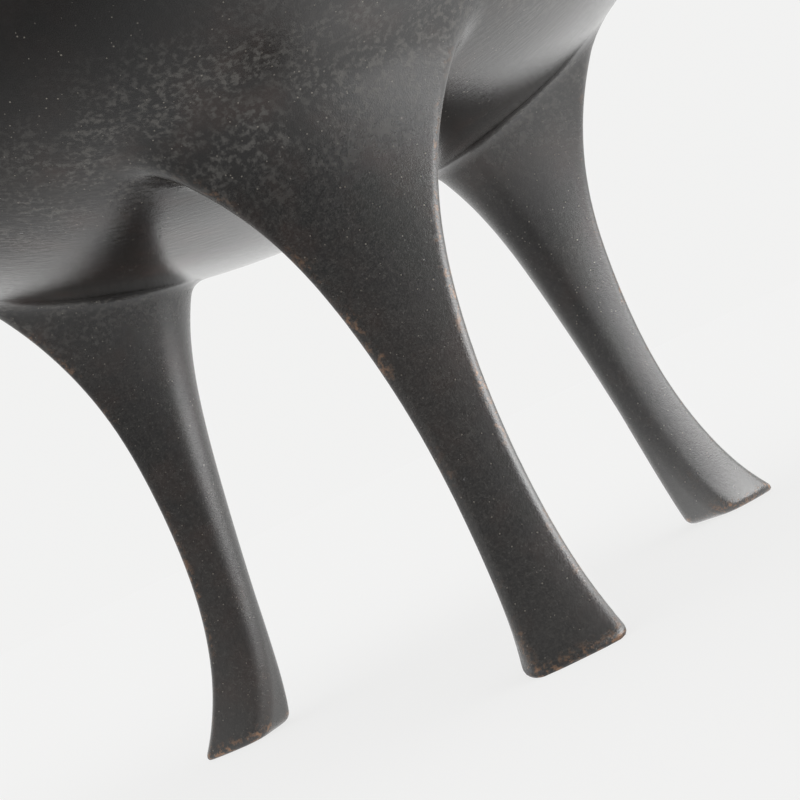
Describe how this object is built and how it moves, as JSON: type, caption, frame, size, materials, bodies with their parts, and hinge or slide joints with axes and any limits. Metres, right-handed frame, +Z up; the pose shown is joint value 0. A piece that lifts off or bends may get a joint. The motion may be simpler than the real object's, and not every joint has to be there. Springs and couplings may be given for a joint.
{
  "type": "bronze tripod censer",
  "caption": "Round hollow bronze bowl with a flared lip, standing on slender splayed legs with outturned feet; open at the top to hold ash and incense.",
  "frame": {"origin": "on the bowl's turning axis, at the level of the three foot undersides", "axes": "+Z up along the bowl's turning axis; the front leg points to -Y, the other two lie 120 degrees to each side of it"},
  "size_m": [0.1294, 0.1294, 0.1228],
  "materials": {
    "bronze": "dark brown-black patinated bronze, semi-gloss, with faint grey mottling and worn coppery edges"
  },
  "bodies": {
    "root": {"censer": "bronze"}
  },
  "joints": []
}
